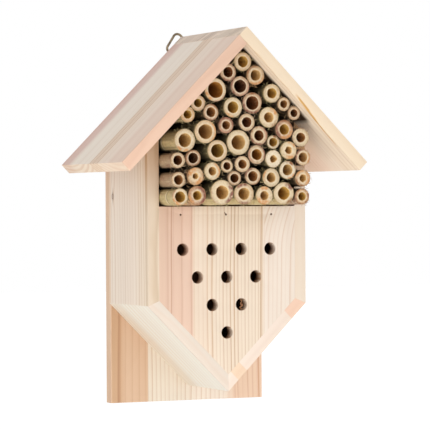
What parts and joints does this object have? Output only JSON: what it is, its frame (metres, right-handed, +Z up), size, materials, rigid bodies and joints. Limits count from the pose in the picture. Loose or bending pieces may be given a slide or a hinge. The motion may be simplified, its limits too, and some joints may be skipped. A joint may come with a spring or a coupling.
{
  "type": "insect hotel",
  "caption": "Wall-hung wooden insect hotel: a V-bottomed house with a lapped gable roof, a drilled front over a hollow chamber, and a gable packed with hollow bamboo canes.",
  "frame": {"origin": "the point inside the top of the hanging ring where the nail or hook carries the house, on its centre plane", "axes": "+X to the right seen from the front, +Y from the front to the back, towards the wall, +Z up"},
  "size_m": [0.2121, 0.1357, 0.3038],
  "materials": {
    "pine_boards": "planed, unfinished softwood",
    "bamboo_canes": "raw cane with sawn ends",
    "ring_wire": "bronzed wire",
    "zinc_plated_steel": "dull zinc plate",
    "nail_wire": "dull steel"
  },
  "bodies": {
    "house": {"backboard": "pine_boards", "left_side_wall": "pine_boards", "right_side_wall": "pine_boards", "left_lower_wall": "pine_boards", "right_lower_wall": "pine_boards", "drilled_front": "pine_boards", "cane_shelf": "pine_boards", "left_roof_board": "pine_boards", "right_roof_board": "pine_boards", "hanger_strap": "zinc_plated_steel", "hanger_screws": "zinc_plated_steel", "nails": "nail_wire", "cane_01": "bamboo_canes", "cane_02": "bamboo_canes", "cane_03": "bamboo_canes", "cane_04": "bamboo_canes", "cane_05": "bamboo_canes", "cane_06": "bamboo_canes", "cane_07": "bamboo_canes", "cane_08": "bamboo_canes", "cane_09": "bamboo_canes", "cane_10": "bamboo_canes", "cane_11": "bamboo_canes", "cane_12": "bamboo_canes", "cane_13": "bamboo_canes", "cane_14": "bamboo_canes", "cane_15": "bamboo_canes", "cane_16": "bamboo_canes", "cane_17": "bamboo_canes", "cane_18": "bamboo_canes", "cane_19": "bamboo_canes", "cane_20": "bamboo_canes", "cane_21": "bamboo_canes", "cane_22": "bamboo_canes", "cane_23": "bamboo_canes", "cane_24": "bamboo_canes", "cane_25": "bamboo_canes", "cane_26": "bamboo_canes", "cane_27": "bamboo_canes", "cane_28": "bamboo_canes", "cane_29": "bamboo_canes", "cane_30": "bamboo_canes", "cane_31": "bamboo_canes", "cane_32": "bamboo_canes", "cane_33": "bamboo_canes", "cane_34": "bamboo_canes", "cane_35": "bamboo_canes", "cane_36": "bamboo_canes", "cane_37": "bamboo_canes", "cane_38": "bamboo_canes", "cane_39": "bamboo_canes", "cane_40": "bamboo_canes", "cane_41": "bamboo_canes", "cane_42": "bamboo_canes", "cane_43": "bamboo_canes", "cane_44": "bamboo_canes", "cane_45": "bamboo_canes", "cane_46": "bamboo_canes", "cane_47": "bamboo_canes"},
    "ring": {"hanger_ring": "ring_wire"}
  },
  "joints": [
    {"name": "ring_swing", "type": "hinge", "parent": "house", "child": "ring", "pos_m": [0, -0.0051, -0.01569], "axis": [-1, 0, 0], "range_deg": [-18, 152]}
  ]
}
